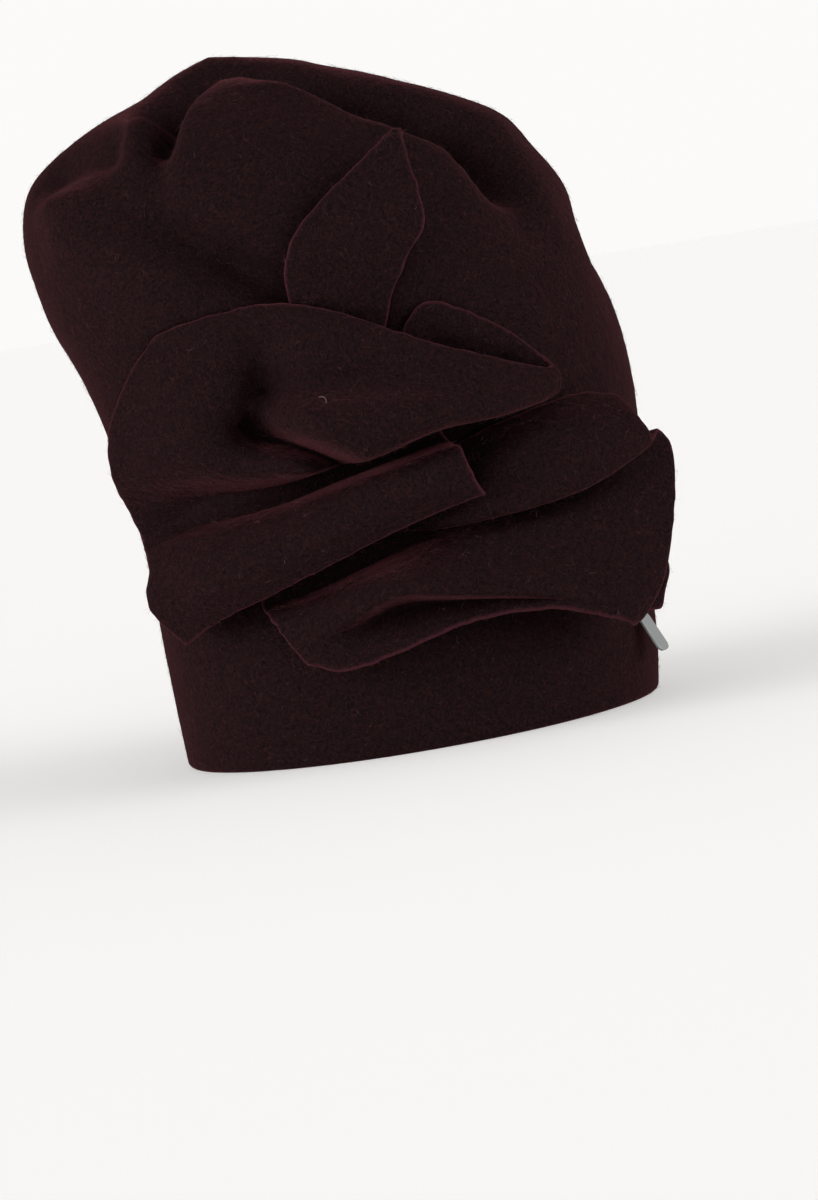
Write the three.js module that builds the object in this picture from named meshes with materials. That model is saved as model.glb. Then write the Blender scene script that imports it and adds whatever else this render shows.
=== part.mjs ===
// Wool cap: a tall soft crown of boiled wool that leans to one side, with a draped flower on its front.
// Millimetres, +Z up, the flower on the -Y side. The origin lies on the surface that the rim rests on, in
// the middle of the cap's footprint. The tables below are measured from the middle of the rim, which lies
// at RIM_X and RIM_Y.

import * as THREE from "three";

// Driving dimensions
const WALL = 2.5; // thickness of the felt
const GAP = 0.3; // clearance between two pieces that touch
const RIM_X = 7;
const RIM_Y = 9;
const RIM_SKEW = 0.07; // turn of the oval rim: y gained for each mm of x
const HEM_HEIGHT = 26; // the hem is turned inside, so the wall is double up to here
const HEM_ROUND = 1.5; // rounding of the hem's two lower edges
const FRONT_Y = -92; // curve in front of the crown from which the petals' stand-off is measured
const FRONT_BEND = 0.0032; // how that curve falls back to both sides, for each square mm of x
const SEAT_SOFTNESS = 1; // how gradually a petal comes to lie against the crown
const SEAT_REACH = 0.94; // share of the crown's half width within which it backs a petal

// Fineness of the facets
const CROWN_COLUMNS = 56;
const PETAL_STEPS = 3; // facets between two places of a crest line
const ACROSS_STEPS = 2; // facets between two crest lines
const LEVEL_HALVINGS = 30; // steps in which the crown's level curve at a height is found

// Level curves of the crown from the rim to the top: how far it reaches left, right, front and back, and
// the number of facets up to the next one.
const RINGS = [
  { z: 0, left: -99, right: 99, front: -80, back: 80, steps: 1 },
  { z: 20, left: -100, right: 101.5, front: -82, back: 82.5, steps: 1 },
  { z: 45, left: -101, right: 102.5, front: -84, back: 86, steps: 1 },
  { z: 75, left: -102, right: 105, front: -85, back: 89, steps: 1 },
  { z: 105, left: -104, right: 107.5, front: -86, back: 91, steps: 1 },
  { z: 135, left: -108, right: 107, front: -87, back: 94, steps: 2 },
  { z: 162, left: -115.5, right: 104.5, front: -87, back: 97, steps: 2 },
  { z: 187, left: -125.5, right: 101, front: -86.5, back: 100, steps: 2 },
  { z: 210, left: -130, right: 93.5, front: -84, back: 101, steps: 2 },
  { z: 229, left: -130, right: 82, front: -80, back: 99, steps: 2 },
  { z: 244, left: -125, right: 72, front: -74, back: 94, steps: 2 },
  { z: 256, left: -113, right: 52, front: -66, back: 87, steps: 2 },
  { z: 266, left: -95, right: 29, front: -56, back: 77, steps: 2 },
  { z: 275, left: -74, right: 6, front: -42, back: 62, steps: 2 },
  { z: 282, left: -60, right: -14, front: -24, back: 44, steps: 2 },
  { z: 287, left: -44, right: -44, front: 8, back: 8, steps: 0 },
];

// Folds of the crown: a groove where depth is positive, a ridge where it is negative. The path lists places,
// each with x, y, z and the share of the depth that it has there.
const CROWN_FOLDS = [
  { fold: "top valley", width: 14, depth: 21, path: [[-58, -34, 276, 0.8], [-46, -23, 283, 1],
    [-24, -22, 280, 1], [-2, -30, 267, 1], [16, -37, 257, 0.95], [36, -38, 254, 0.9], [54, -34, 247, 0.85],
    [66, -35, 231, 0.6], [72, -44, 205, 0]] },
  { fold: "pinch left of the top", width: 8, depth: 11, path: [[-79, -62, 232, 0.3], [-71, -56, 252, 1],
    [-60, -40, 272, 1]] },
  { fold: "diagonal valley", width: 12, depth: 9, path: [[-74, -69, 232, 0.5], [-58, -78, 211, 1],
    [-36, -86, 186, 0.5]] },
  { fold: "corner ridge", width: 6, depth: -4, path: [[-128, -10, 240, 1], [-98, -50, 241, 1],
    [-80, -64, 238, 0.5]] },
  { fold: "hollow over the corner ridge", width: 13, depth: 6,
    path: [[-112, -25, 252, 1], [-86, -50, 257, 1]] },
  { fold: "swelling under the corner ridge", width: 16, depth: -5,
    path: [[-106, -50, 225, 1], [-66, -76, 200, 1]] },
  { fold: "right ridge", width: 7, depth: -3, path: [[66, -58, 214, 0.6], [90, -32, 203, 1]] },
  { fold: "right groove", width: 7, depth: 3, path: [[66, -62, 202, 0.6], [90, -38, 192, 1]] },
  { fold: "back valley", width: 14, depth: 9, path: [[-35, 62, 270, 0.5], [10, 68, 252, 1],
    [52, 52, 232, 0.6]] },
  { fold: "back sag", width: 18, depth: 8, path: [[-128, 30, 214, 1], [-80, 84, 196, 1],
    [-30, 98, 176, 0.4]] },
  { fold: "right sag", width: 16, depth: 6, path: [[98, 10, 186, 1], [80, 58, 200, 1], [48, 84, 222, 0.5]] },
];

// Crest and valley lines of each petal from its top edge down, each through places from left to right. x and
// z are seen from the front, and off is how far the felt stands off the reference curve. A line with fewer
// places than the first one ends at a cut across the felt.
const UPPER_LINES = [
  { line: "top edge",
    x: [-80, -58, -32, -8, 17, 46, 71, 60, 42, 25, 14],
    z: [180, 184, 185, 178, 165, 152, 143, 157, 170, 177, 172],
    off: [4, 4, 4, 5, 8, 11, 4, -3, -4, -4, -4] },
  { line: "brow",
    x: [-95, -68, -38, -8, 18, 47, 73, 58, 40, 24, 14],
    z: [163, 167, 168, 164, 156, 146, 141, 151, 161, 167, 164],
    off: [8, 13, 15, 15, 16, 15, 4, -3, -4, -5, -5] },
  { line: "belly",
    x: [-106, -76, -42, -8, 20, 48, 74, 56, 38, 23, 14],
    z: [142, 146, 149, 145, 144, 138, 138, 145, 152, 157, 156],
    off: [11, 22, 24, 22, 22, 19, 4, -4, -5, -5, -5] },
  { line: "lip",
    x: [-107, -77, -44, -8, 23, 50, 73, 55, 37, 22, 14],
    z: [121, 121, 120, 122, 129, 130, 134, 138, 143, 147, 148],
    off: [9, 20, 22, 26, 27, 21, 3, -5, -5, -5, -5] },
  { line: "upper side of the crease",
    x: [-103, -75, -43, -8, 24, 51, 70, 54, 36, 21, 14],
    z: [104, 108, 112, 121, 128, 128, 131, 132, 134, 137, 140],
    off: [0, 1, 2, -2, 0, 5, 2, -5, -6, -6, -6] },
  { line: "lower side of the crease",
    x: [-101, -75, -42, -8, 28],
    z: [92, 99, 106, 114, 120],
    off: [-4, -3, -5, -9, -2] },
  { line: "shoulder",
    x: [-100, -76, -42, -8, 31],
    z: [82, 92, 101, 111, 118.5],
    off: [3, 10, 13, 16, 18] },
  { line: "crest",
    x: [-100, -74, -38, -4, 34],
    z: [70, 80, 91, 101, 109],
    off: [6, 17, 21, 23, 23] },
  { line: "hem",
    x: [-89, -72, -38, -1, 38],
    z: [55, 65, 77, 90, 99],
    off: [4, 8, 12, 15, 18] },
];
const UPPER_FOLDS = [
  { fold: "dimple", width: 10, depth: 12, path: [[-34, 0, 170, 0.2], [-41, 0, 155, 0.8], [-47, 0, 139, 1]] },
  { fold: "crease of the dimple", width: 6, depth: 8,
    path: [[-46, 0, 136, 0.8], [-38, 0, 130, 1], [-14, 0, 120, 0.4]] },
];
const LOWER_LINES = [
  { line: "top edge",
    x: [-52, -34, -6, 22, 50, 78, 95, 101],
    z: [84, 92, 104, 116, 125, 130, 127, 118],
    off: [-5, -5, -7, -6, -4, -3, 3, 6] },
  { line: "roll",
    x: [-54, -36, -8, 21, 50, 79, 98, 105],
    z: [80, 87, 97, 104, 112, 116, 117, 113.5],
    off: [-5, -5, -6, 1, 10, 16, 15, 12] },
  { line: "under the roll",
    x: [-55, -39, -9, 20, 51, 77, 97, 108],
    z: [76, 82, 91, 89, 91, 95, 102, 107.5],
    off: [-5, -6, -5, 5, 13, 17, 15, 12] },
  { line: "upper side of the valley",
    x: [-56, -40, -10, 20, 50, 78, 98, 111.5],
    z: [72, 77, 86, 94, 98, 102, 107, 110.5],
    off: [-5, -6, -6, -4, 0, 3, 5, 7] },
  { line: "lower side of the valley",
    x: [-56, -40, -10, 20, 50, 79, 99, 115],
    z: [69, 72, 81, 87, 91, 95, 98, 104],
    off: [-3, -4, -4, -5, -2, 1, 4, 8] },
  { line: "apron top",
    x: [-54, -37, -8, 21, 51, 80, 102, 115.5],
    z: [65, 67, 76, 79, 82, 84, 88, 95],
    off: [1, 5, 8, 7, 7, 7, 8, 9] },
  { line: "apron",
    x: [-51, -33, -6, 22, 53, 82, 103, 112],
    z: [59, 61, 70, 71, 69, 67, 70, 78],
    off: [6, 12, 18, 17, 15, 13, 11, 10] },
  { line: "lower fold",
    x: [-48, -30, -4, 24, 55, 84, 98, 106],
    z: [53, 55, 63, 60.5, 58, 50, 52, 58],
    off: [8, 14, 22, 22, 19, 17, 14, 11] },
  { line: "scoop",
    x: [-45, -29, -5, 24, 56, 84, 94, 101],
    z: [48, 48, 53, 56, 54.5, 45, 44.5, 48],
    off: [9, 10, 8, 15, 19.5, 18, 14.5, 11] },
  { line: "lower edge",
    x: [-41, -28, -8, 24, 56, 84, 88, 92],
    z: [43, 39.5, 43, 51, 50.5, 40, 37, 38],
    off: [9, 16, 18, 18, 20, 19, 15, 11] },
];
const UNDER_LINES = [
  { line: "top edge",
    x: [44, 64, 84, 98],
    z: [66, 66, 68, 68],
    off: [-14, -9, 0, 4] },
  { line: "middle",
    x: [45, 66, 87, 107],
    z: [55, 54, 55, 57],
    off: [-14, -8, 2, 6] },
  { line: "lower edge",
    x: [46, 66, 84, 101],
    z: [50, 46, 43, 39],
    off: [-14, -8, 2, 6] },
];
const LEAF_LINES = [
  { line: "left edge",
    x: [-22, -26, -24, -15, 1, 21.5],
    z: [170, 186, 202, 217, 230, 242],
    off: [-7, -3, -1, -3, -6, -9] },
  { line: "middle",
    x: [-9, -5, 1, 8, 16, 25.5],
    z: [170, 185, 201, 215, 228, 243],
    off: [-7, -2, 1, -1, -5, -9] },
  { line: "right edge",
    x: [3, 15, 26, 30, 30, 29],
    z: [170, 184, 200, 213, 226, 241],
    off: [-7, -3, -1, -3, -6, -9] },
];

// Plate at the right of the band: its size and the place and lean of its middle
const PLATE = { width: 9, height: 18, thick: 1.2, round: 3, x: 98.2, y: -28.6, z: 27, turn: 60, lean: 28 };

const FELT = { color: 0x3a2428, roughness: 0.95, metalness: 0 };
const GREY_METAL = { color: 0x8d908f, roughness: 0.45, metalness: 0.8 };

// A smooth curve through the values, read at place t counted in rows.
function smoothValue(values, t) {
  const last = values.length - 1;
  const i = Math.min(Math.floor(t), last - 1);
  const f = t - i;
  const before = i > 0 ? values[i - 1] : 2 * values[0] - values[1];
  const after = i < last - 1 ? values[i + 2] : 2 * values[last] - values[last - 1];
  const startSlope = (values[i + 1] - before) / 2;
  const endSlope = (after - values[i]) / 2;
  const rise = values[i + 1] - values[i];
  return values[i] + f * (startSlope + f * (3 * rise - 2 * startSlope - endSlope
    + f * (startSlope + endSlope - 2 * rise)));
}

// Crown: one oval level curve, read from the table at place t
function ringAt(t) {
  const ring = {};
  for (const key of ["z", "left", "right", "front", "back"]) {
    ring[key] = smoothValue(RINGS.map((row) => row[key]), t);
  }
  return ring;
}

function ovalPoint(ring, angle) {
  const middleX = (ring.left + ring.right) / 2;
  const middleY = (ring.front + ring.back) / 2;
  const x = middleX + (ring.right - ring.left) / 2 * Math.cos(angle);
  const y = middleY + (ring.back - ring.front) / 2 * Math.sin(angle) + RIM_SKEW * (x - middleX);
  return new THREE.Vector3(x, y, ring.z);
}

// How much of a fold's depth is felt at a place: it falls off with the distance from the fold's path.
function foldShare(fold, place) {
  const foot = new THREE.Vector3();
  let nearest = Infinity;
  let share = 0;
  for (let i = 0; i + 1 < fold.path.length; i += 1) {
    const start = fold.path[i];
    const end = fold.path[i + 1];
    const leg = new THREE.Line3(new THREE.Vector3(...start), new THREE.Vector3(...end));
    const along = leg.closestPointToPointParameter(place, true);
    const distance = leg.at(along, foot).distanceTo(place);
    if (distance < nearest) {
      nearest = distance;
      share = THREE.MathUtils.lerp(start[3], end[3], along) * Math.exp(-((distance / fold.width) ** 2));
    }
  }
  return share;
}

function foldDepth(folds, place) {
  return folds.reduce((sum, fold) => sum + fold.depth * foldShare(fold, place), 0);
}

// Normals of a grid of places, each from the corners that meet there.
function gridNormals(grid, wrap) {
  const pick = (i, j) => grid[wrap ? (i + grid.length) % grid.length : i]?.[j];
  return grid.map((column, i) => column.map((place, j) => {
    const normal = new THREE.Vector3();
    for (const [stepI, stepJ] of [[1, 1], [1, -1], [-1, 1], [-1, -1]]) {
      const along = pick(i + stepI, j);
      const down = pick(i, j + stepJ);
      if (!along || !down) continue;
      const corner = along.clone().sub(place).cross(down.clone().sub(place));
      normal.addScaledVector(corner, stepI * stepJ);
    }
    return normal.normalize();
  }));
}

function toGeometry(places, triangles) {
  const geometry = new THREE.BufferGeometry();
  geometry.setAttribute("position", new THREE.Float32BufferAttribute(places.flatMap((p) => p.toArray()), 3));
  geometry.setIndex(triangles);
  geometry.computeVertexNormals();
  return geometry;
}

// Outer surface of the crown in columns from the rim up to just below the top, and the directions that its
// wall's thickness takes: midway between the folded surface's and the smooth one's, so folds stay clear.
function crownOuter() {
  const stops = [];
  RINGS.forEach((row, i) => {
    for (let s = 0; s < row.steps; s += 1) stops.push(i + s / row.steps);
  });
  const rings = stops.map(ringAt);
  const smooth = [];
  for (let i = 0; i < CROWN_COLUMNS; i += 1) {
    const angle = i / CROWN_COLUMNS * 2 * Math.PI;
    smooth.push(rings.map((ring) => ovalPoint(ring, angle)));
  }
  const normals = gridNormals(smooth, true);
  const outer = smooth.map((column, i) => column.map((place, j) => {
    const depth = foldDepth(CROWN_FOLDS, place);
    return place.clone().addScaledVector(normals[i][j], -depth);
  }));
  const outward = gridNormals(outer, true);
  outward.forEach((column, i) => column.forEach((normal, j) => normal.add(normals[i][j]).normalize()));
  return { outer, outward };
}

// The crown is a shell: the outer skin with the hem's rounded foot, and an inner skin one wall further in,
// or two walls at the turned hem.
function crownGeometry() {
  const { outer, outward } = crownOuter();
  const hemWall = 2 * WALL;
  const midRound = HEM_ROUND * (1 - Math.SQRT1_2);
  const foot = [
    { inset: 0, z: HEM_ROUND },
    { inset: midRound, z: midRound },
    { inset: HEM_ROUND, z: 0 },
    { inset: hemWall - HEM_ROUND, z: 0 },
    { inset: hemWall - midRound, z: midRound },
    { inset: hemWall, z: HEM_ROUND },
    { inset: hemWall, z: HEM_HEIGHT - WALL },
    { inset: WALL, z: HEM_HEIGHT },
  ];
  const places = [];
  const addRow = (row) => row.forEach((place) => places.push(place));
  const heightRing = (z, inset) => outer.map((column, i) => {
    const above = column.findIndex((place) => place.z > z);
    const low = column[Math.max(above - 1, 0)];
    const high = column[Math.max(above, 1)];
    const place = low.clone().lerp(high, (z - low.z) / (high.z - low.z));
    const inward = outward[i][Math.max(above - 1, 0)].clone().setZ(0).normalize();
    return place.addScaledVector(inward, -inset).setZ(z);
  });
  const rowsAbove = (z) => [...outer[0].keys()].filter((j) => outer[0][j].z > z);
  const innerPlace = (i, j) => outer[i][j].clone().addScaledVector(outward[i][j], -WALL);
  rowsAbove(HEM_ROUND).reverse().forEach((j) => addRow(outer.map((column) => column[j])));
  foot.forEach((step) => addRow(heightRing(step.z, step.inset)));
  rowsAbove(HEM_HEIGHT).forEach((j) => addRow(outer.map((column, i) => innerPlace(i, j))));
  const rows = places.length / CROWN_COLUMNS;
  const summit = ovalPoint(ringAt(RINGS.length - 1), 0);
  summit.z -= foldDepth(CROWN_FOLDS, summit);
  places.push(summit, summit.clone().setZ(summit.z - WALL));
  const triangles = [];
  for (let i = 0; i < CROWN_COLUMNS; i += 1) {
    const next = (i + 1) % CROWN_COLUMNS;
    for (let row = 0; row + 1 < rows; row += 1) {
      const a = row * CROWN_COLUMNS;
      const b = a + CROWN_COLUMNS;
      triangles.push(a + i, b + i, b + next, a + i, b + next, a + next);
    }
    const lastRow = (rows - 1) * CROWN_COLUMNS;
    triangles.push(places.length - 2, i, next, places.length - 1, lastRow + next, lastRow + i);
  }
  return toGeometry(places, triangles);
}

// Petals: the y of the felt's middle layer where it lies against the crown at x and z
function seatY(x, z) {
  let low = 0;
  let high = RINGS.length - 1;
  for (let i = 0; i < LEVEL_HALVINGS; i += 1) {
    const middle = (low + high) / 2;
    if (ringAt(middle).z < z) low = middle;
    else high = middle;
  }
  const ring = ringAt(low);
  const middleX = (ring.left + ring.right) / 2;
  const across = (x - middleX) / ((ring.right - ring.left) / 2);
  if (Math.abs(across) > SEAT_REACH) return Infinity;
  const deep = Math.sqrt(1 - across * across);
  const halfDepth = (ring.back - ring.front) / 2;
  const y = (ring.front + ring.back) / 2 - halfDepth * deep + RIM_SKEW * (x - middleX);
  const facing = deep / Math.hypot(deep, across * halfDepth / ((ring.right - ring.left) / 2));
  return y - (GAP + WALL / 2) / facing;
}

function softMinimum(a, b) {
  return Math.min(a, b) - SEAT_SOFTNESS * Math.log1p(Math.exp(-Math.abs(a - b) / SEAT_SOFTNESS));
}

// Middle layer of a petal: a smooth sheet through its lines, pushed back by its folds and never into the
// crown.
function petalSheet(lines, folds) {
  const columns = (lines[0].x.length - 1) * PETAL_STEPS;
  const sheet = [];
  for (let i = 0; i <= columns; i += 1) {
    const along = i / PETAL_STEPS;
    const here = lines.filter((row) => row.x.length - 1 >= along);
    const spots = ["x", "z", "off"].map((key) => here.map((row) => smoothValue(row[key], along)));
    const column = [];
    for (let j = 0; j <= (here.length - 1) * ACROSS_STEPS; j += 1) {
      const [x, z, off] = spots.map((values) => smoothValue(values, j / ACROSS_STEPS));
      const back = foldDepth(folds, new THREE.Vector3(x, 0, z));
      const y = FRONT_Y + FRONT_BEND * x * x - off + back;
      column.push(new THREE.Vector3(x, softMinimum(y, seatY(x, z)), z));
    }
    sheet.push(column);
  }
  return sheet;
}

// Felt of one wall's thickness around a sheet of places, closed along its edges.
function feltGeometry(sheet) {
  const normals = gridNormals(sheet, false);
  const numbers = new Map();
  const places = [];
  sheet.forEach((column, i) => column.forEach((place, j) => {
    numbers.set(i + "," + j, places.length);
    places.push(place.clone().addScaledVector(normals[i][j], WALL / 2));
    places.push(place.clone().addScaledVector(normals[i][j], -WALL / 2));
  }));
  const triangles = [];
  const edges = new Map();
  const addFace = (corners) => {
    corners.forEach((corner, k) => edges.set(corner + ">" + corners[(k + 1) % corners.length],
      [corner, corners[(k + 1) % corners.length]]));
    const [a, b, c, d] = corners;
    triangles.push(a, b, c, a, c, d, a + 1, c + 1, b + 1, a + 1, d + 1, c + 1);
  };
  for (let i = 0; i + 1 < sheet.length; i += 1) {
    const shared = Math.min(sheet[i].length, sheet[i + 1].length);
    for (let j = 0; j + 1 < shared; j += 1) {
      addFace([[i, j], [i + 1, j], [i + 1, j + 1], [i, j + 1]].map((at) => numbers.get(at.join(","))));
    }
  }
  for (const [a, b] of edges.values()) {
    if (!edges.has(b + ">" + a)) triangles.push(b, a, a + 1, b, a + 1, b + 1);
  }
  return toGeometry(places, triangles);
}

// Plate: a thin rounded rectangle
function plateGeometry() {
  const { width, height, thick, round } = PLATE;
  const outline = new THREE.Shape();
  const halfWidth = width / 2;
  const halfHeight = height / 2;
  outline.moveTo(-halfWidth + round, -halfHeight);
  outline.lineTo(halfWidth - round, -halfHeight);
  outline.absarc(halfWidth - round, -halfHeight + round, round, -Math.PI / 2, 0);
  outline.lineTo(halfWidth, halfHeight - round);
  outline.absarc(halfWidth - round, halfHeight - round, round, 0, Math.PI / 2);
  outline.lineTo(-halfWidth + round, halfHeight);
  outline.absarc(-halfWidth + round, halfHeight - round, round, Math.PI / 2, Math.PI);
  outline.lineTo(-halfWidth, -halfHeight + round);
  outline.absarc(-halfWidth + round, -halfHeight + round, round, Math.PI, 1.5 * Math.PI);
  const plate = new THREE.ExtrudeGeometry(outline, { depth: thick, bevelEnabled: false, curveSegments: 5 });
  plate.translate(0, 0, -thick / 2);
  return plate;
}

function makePiece(name, geometry, look) {
  const piece = new THREE.Mesh(geometry, new THREE.MeshStandardMaterial(look));
  piece.name = name;
  return piece;
}

const cap = new THREE.Group();
cap.position.set(RIM_X, RIM_Y, 0);
cap.add(makePiece("crown", crownGeometry(), FELT));
cap.add(makePiece("upper_petal", feltGeometry(petalSheet(UPPER_LINES, UPPER_FOLDS)), FELT));
cap.add(makePiece("lower_petal", feltGeometry(petalSheet(LOWER_LINES, [])), FELT));
cap.add(makePiece("under_petal", feltGeometry(petalSheet(UNDER_LINES, [])), FELT));
cap.add(makePiece("leaf_petal", feltGeometry(petalSheet(LEAF_LINES, [])), FELT));
const plate = makePiece("label_plate", plateGeometry(), GREY_METAL);
plate.position.set(PLATE.x, PLATE.y, PLATE.z);
const { degToRad } = THREE.MathUtils;
plate.rotation.set(degToRad(90 - PLATE.lean), 0, degToRad(PLATE.turn), "ZYX");
cap.add(plate);

export default cap;
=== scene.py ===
# %% [markdown]
# # A felt cap with a draped flower
# This lesson dresses a tall cap of boiled wool. On the real cap one soft bag of felt leans to the left and
# sinks in at its top, its rim is turned inside as a hem, and strips of the same felt are folded and sewn to
# the front as a flower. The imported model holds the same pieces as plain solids. Here each solid is replaced
# by a finer piece that is shaped from the same named sizes, so both stay in one frame.

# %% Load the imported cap
import math

import bmesh
import bpy
import numpy as np
from mathutils import Matrix, Vector, noise
from mathutils.bvhtree import BVHTree
from mathutils.kdtree import KDTree


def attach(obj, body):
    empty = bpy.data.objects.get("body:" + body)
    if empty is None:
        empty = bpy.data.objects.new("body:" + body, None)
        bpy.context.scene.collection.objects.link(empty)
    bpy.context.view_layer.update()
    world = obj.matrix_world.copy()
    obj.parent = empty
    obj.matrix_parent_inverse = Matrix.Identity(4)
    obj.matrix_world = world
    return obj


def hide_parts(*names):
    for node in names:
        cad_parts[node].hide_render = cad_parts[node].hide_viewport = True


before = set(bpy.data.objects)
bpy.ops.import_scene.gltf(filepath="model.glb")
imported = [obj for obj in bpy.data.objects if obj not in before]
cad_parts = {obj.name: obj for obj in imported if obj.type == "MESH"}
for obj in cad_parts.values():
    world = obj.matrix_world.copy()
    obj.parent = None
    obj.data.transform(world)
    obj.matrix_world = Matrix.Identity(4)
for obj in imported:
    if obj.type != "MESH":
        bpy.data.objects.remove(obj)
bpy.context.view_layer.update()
print("the packed cap has", len(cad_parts), "pieces")

# %% [markdown]
# Felt is measured in millimetres, and Blender works in metres, so the tables below hold millimetres and one
# factor turns them into metres. The tables are measured from the middle of the rim, which lies a few
# millimetres off the middle of the whole cap because the crown leans.

# %% Sizes that drive the shapes, in millimetres
MM = 0.001
RIM_MIDDLE = np.array([7.0, 9.0, 0.0])
WALL = 2.5
GAP = 0.3
RIM_SKEW = 0.07
HEM_HEIGHT = 26
FRONT_Y = -92
FRONT_BEND = 0.0032
SEAT_SOFTNESS = 1
SEAT_REACH = 0.94
print("felt", WALL, "mm thick, with a hem of", HEM_HEIGHT, "mm and gaps of", GAP, "mm")

# %% [markdown]
# The camera stands as the photograph's did: nearly level with the cap, a good stride and a half away, and
# turned so that the cap leans as it does there. A long lens at that distance keeps the
# rim's oval as flat as it looks there.

# %% The camera
CAMERA_DISTANCE = 1700
CAMERA_TARGET = RIM_MIDDLE + (1.8, 0, 53)
CAMERA_DROP = math.radians(5.5)
CAMERA_ROLL = math.radians(9.2)
CAMERA_LENS = 122.9

look = Vector((0, math.cos(CAMERA_DROP), -math.sin(CAMERA_DROP)))
level_right = Vector((1, 0, 0))
level_up = level_right.cross(look)
camera_right = math.cos(CAMERA_ROLL) * level_right - math.sin(CAMERA_ROLL) * level_up
camera_up = math.sin(CAMERA_ROLL) * level_right + math.cos(CAMERA_ROLL) * level_up
camera = bpy.data.objects.new("camera", bpy.data.cameras.new("camera"))
bpy.context.scene.collection.objects.link(camera)
camera.data.lens = CAMERA_LENS
turn = Matrix((camera_right, camera_up, -look)).transposed()
place = (Vector(CAMERA_TARGET) - CAMERA_DISTANCE * look) * MM
camera.matrix_world = Matrix.Translation(place) @ turn.to_4x4()
bpy.context.scene.camera = camera
print("camera stands", round(place.z, 3), "m above the floor")

# %% [markdown]
# Soft cloth has no corners, so each shape is drawn through a few measured places with a smooth curve. The
# curve passes through every place and leaves it in the direction of its two neighbours.

# %% A smooth curve through the rows of a table
def smooth_rows(rows, t):
    """The rows' values at each place t, which is counted in rows."""
    rows = np.asarray(rows, float)
    if rows.ndim == 1:
        rows = np.repeat(rows[:, None], len(t), axis=1)
    last = len(rows) - 1
    padded = np.vstack([2 * rows[0] - rows[1], rows, 2 * rows[last] - rows[last - 1]])
    i = np.clip(np.floor(t).astype(int), 0, last - 1)
    f = t - i
    before, start, end, after = (
        np.take_along_axis(padded, (i + k)[None, :], axis=0)[0] for k in range(4)
    )
    start_slope = (end - before) / 2
    end_slope = (after - start) / 2
    rise = end - start
    bend = 3 * rise - 2 * start_slope - end_slope
    return start + f * (start_slope + f * (bend + f * (start_slope + end_slope - 2 * rise)))


print("halfway between the rows 1 and 4 of 0, 1, 4, 9:", smooth_rows([0, 1, 4, 9], np.array([1.5]))[0])

# %% [markdown]
# ## The crown
# The real crown is one bag of felt, blocked round and then pulled over to the left so that its slack
# falls into soft folds. It could be sculpted by hand, but level curves are easier to read and to correct:
# each row says how far the felt reaches left, right, front and back at one height.

# %% Level curves of the crown, from the rim to the top
RINGS = [
    {"z": 0, "left": -99, "right": 99, "front": -80, "back": 80},
    {"z": 20, "left": -100, "right": 101.5, "front": -82, "back": 82.5},
    {"z": 45, "left": -101, "right": 102.5, "front": -84, "back": 86},
    {"z": 75, "left": -102, "right": 105, "front": -85, "back": 89},
    {"z": 105, "left": -104, "right": 107.5, "front": -86, "back": 91},
    {"z": 135, "left": -108, "right": 107, "front": -87, "back": 94},
    {"z": 162, "left": -115.5, "right": 104.5, "front": -87, "back": 97},
    {"z": 187, "left": -125.5, "right": 101, "front": -86.5, "back": 100},
    {"z": 210, "left": -130, "right": 93.5, "front": -84, "back": 101},
    {"z": 229, "left": -130, "right": 82, "front": -80, "back": 99},
    {"z": 244, "left": -125, "right": 72, "front": -74, "back": 94},
    {"z": 256, "left": -113, "right": 52, "front": -66, "back": 87},
    {"z": 266, "left": -95, "right": 29, "front": -56, "back": 77},
    {"z": 275, "left": -74, "right": 6, "front": -42, "back": 62},
    {"z": 282, "left": -60, "right": -14, "front": -24, "back": 44},
    {"z": 287, "left": -44, "right": -44, "front": 8, "back": 8},
]
LEVEL_SAMPLES = 1501
LEVELS = np.linspace(0, len(RINGS) - 1, LEVEL_SAMPLES)
LEVEL_HEIGHTS = smooth_rows([ring["z"] for ring in RINGS], LEVELS)


def ring_at(t):
    return {key: smooth_rows([ring[key] for ring in RINGS], t) for key in RINGS[0]}


def smooth_crown(angle, t):
    """Places on the crown before any fold, at an angle round the rim and a place t in the table."""
    ring = ring_at(t)
    middle_x = (ring["left"] + ring["right"]) / 2
    middle_y = (ring["front"] + ring["back"]) / 2
    x = middle_x + (ring["right"] - ring["left"]) / 2 * np.cos(angle)
    y = middle_y + (ring["back"] - ring["front"]) / 2 * np.sin(angle) + RIM_SKEW * (x - middle_x)
    return np.stack([x, y, ring["z"]], axis=1)


print("the crown is", RINGS[-1]["z"], "mm tall")

# %% [markdown]
# A fold of soft felt is deepest along a line and fades away on both sides of it. So each row of the next
# table is such a line: its width, its depth, and the places that it runs through with the share of the
# depth that it has there. A negative depth raises a ridge.

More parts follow.
